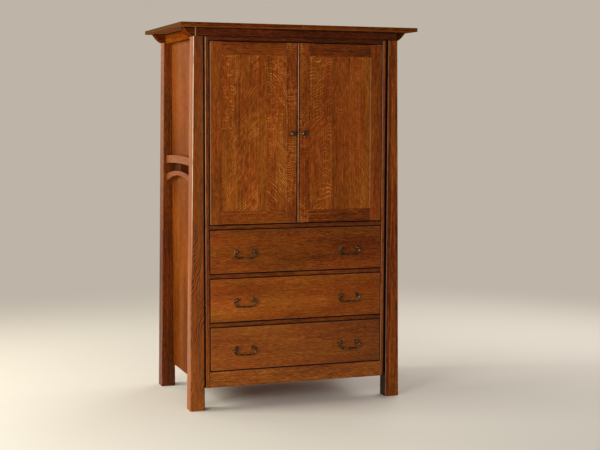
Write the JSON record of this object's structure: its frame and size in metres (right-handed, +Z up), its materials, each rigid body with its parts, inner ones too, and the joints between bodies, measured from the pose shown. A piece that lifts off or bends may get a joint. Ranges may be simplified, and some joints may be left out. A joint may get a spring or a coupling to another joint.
{
  "type": "computer armoire",
  "caption": "Tall oak armoire with panelled doors over full-width drawers, tapered posts, arched side rails and an overhanging crown; bail pulls swing.",
  "frame": {"origin": "on the floor, under the middle of the crown board, which is the bottom centre of the bounding box", "axes": "+X to the right as seen from the front, +Y to the back, +Z up; doors and drawers open towards -Y"},
  "size_m": [1.278, 0.798, 1.971],
  "materials": {
    "oak": "brown-stained quarter-sawn oak, satin lacquer",
    "oak_panel": "brown-stained quarter-sawn oak boards, satin lacquer",
    "oak_dark": "dark-stained oak, satin lacquer",
    "oak_inside": "brown-stained oak, thin satin lacquer",
    "pale_wood": "clear-lacquered maple",
    "antique_bronze": "dark antique bronze",
    "dark_steel": "dark bronze plating",
    "zinc_steel": "zinc plating",
    "brown_plastic": "moulded, matt",
    "black_plastic": "moulded, matt"
  },
  "bodies": {
    "cabinet": {"accent_blocks": "oak_dark", "back_frieze": "oak_inside", "back_left_post": "oak", "back_panels": "oak_inside", "back_rails": "oak_inside", "back_right_post": "oak", "bottom_rail": "oak", "cable_grommet": "black_plastic", "case_bottom": "oak_inside", "case_slides": "zinc_steel", "case_top": "oak_inside", "corbels": "oak_dark", "cross_rails": "oak", "crown_board": "oak", "deck": "oak_inside", "frame_hinge_leaves": "dark_steel", "front_frieze": "oak", "front_left_post": "oak", "front_right_post": "oak", "left_arch_rails": "oak", "left_side_panel": "oak", "left_stile": "oak", "magnetic_catches": "brown_plastic", "right_arch_rails": "oak", "right_side_panel": "oak", "right_stile": "oak", "shelf": "oak_inside", "shelf_pins": "zinc_steel", "side_friezes": "oak", "slide_cleats": "pale_wood", "top_rail": "oak"},
    "left_door": {"left_door_hardware": "dark_steel", "left_door_knob": "antique_bronze", "left_door_panel": "oak_panel", "left_door_rails": "oak", "left_door_stiles": "oak"},
    "right_door": {"right_door_hardware": "dark_steel", "right_door_knob": "antique_bronze", "right_door_panel": "oak_panel", "right_door_rails": "oak", "right_door_stiles": "oak"},
    "bottom_drawer": {"bottom_drawer_box": "pale_wood", "bottom_drawer_front": "oak", "bottom_drawer_pull_posts": "antique_bronze", "bottom_drawer_runners": "zinc_steel"},
    "bottom_drawer_left_bail": {"bottom_drawer_left_bail": "antique_bronze"},
    "bottom_drawer_right_bail": {"bottom_drawer_right_bail": "antique_bronze"},
    "middle_drawer": {"middle_drawer_box": "pale_wood", "middle_drawer_front": "oak", "middle_drawer_pull_posts": "antique_bronze", "middle_drawer_runners": "zinc_steel"},
    "middle_drawer_left_bail": {"middle_drawer_left_bail": "antique_bronze"},
    "middle_drawer_right_bail": {"middle_drawer_right_bail": "antique_bronze"},
    "top_drawer": {"top_drawer_box": "pale_wood", "top_drawer_front": "oak", "top_drawer_pull_posts": "antique_bronze", "top_drawer_runners": "zinc_steel"},
    "top_drawer_left_bail": {"top_drawer_left_bail": "antique_bronze"},
    "top_drawer_right_bail": {"top_drawer_right_bail": "antique_bronze"}
  },
  "joints": [
    {"name": "left_door_hinge", "type": "hinge", "parent": "cabinet", "child": "left_door", "pos_m": [-0.4535, -0.313, 1.41975], "axis": [0, 0, -1], "range_deg": [0, 120]},
    {"name": "right_door_hinge", "type": "hinge", "parent": "cabinet", "child": "right_door", "pos_m": [0.4535, -0.313, 1.41975], "axis": [0, 0, 1], "range_deg": [0, 120]},
    {"name": "bottom_drawer_slide", "type": "slide", "parent": "cabinet", "child": "bottom_drawer", "axis": [0, -1, 0], "range_m": [0, 0.4]},
    {"name": "bottom_drawer_left_bail_swing", "type": "hinge", "parent": "bottom_drawer", "child": "bottom_drawer_left_bail", "pos_m": [-0.288, -0.338, 0.31275], "axis": [-1, 0, 0], "range_deg": [-17, 159]},
    {"name": "bottom_drawer_right_bail_swing", "type": "hinge", "parent": "bottom_drawer", "child": "bottom_drawer_right_bail", "pos_m": [0.288, -0.338, 0.31275], "axis": [-1, 0, 0], "range_deg": [-17, 159]},
    {"name": "middle_drawer_slide", "type": "slide", "parent": "cabinet", "child": "middle_drawer", "axis": [0, -1, 0], "range_m": [0, 0.4]},
    {"name": "middle_drawer_left_bail_swing", "type": "hinge", "parent": "middle_drawer", "child": "middle_drawer_left_bail", "pos_m": [-0.288, -0.338, 0.56425], "axis": [-1, 0, 0], "range_deg": [-17, 159]},
    {"name": "middle_drawer_right_bail_swing", "type": "hinge", "parent": "middle_drawer", "child": "middle_drawer_right_bail", "pos_m": [0.288, -0.338, 0.56425], "axis": [-1, 0, 0], "range_deg": [-17, 159]},
    {"name": "top_drawer_slide", "type": "slide", "parent": "cabinet", "child": "top_drawer", "axis": [0, -1, 0], "range_m": [0, 0.4]},
    {"name": "top_drawer_left_bail_swing", "type": "hinge", "parent": "top_drawer", "child": "top_drawer_left_bail", "pos_m": [-0.288, -0.338, 0.81575], "axis": [-1, 0, 0], "range_deg": [-17, 159]},
    {"name": "top_drawer_right_bail_swing", "type": "hinge", "parent": "top_drawer", "child": "top_drawer_right_bail", "pos_m": [0.288, -0.338, 0.81575], "axis": [-1, 0, 0], "range_deg": [-17, 159]}
  ]
}
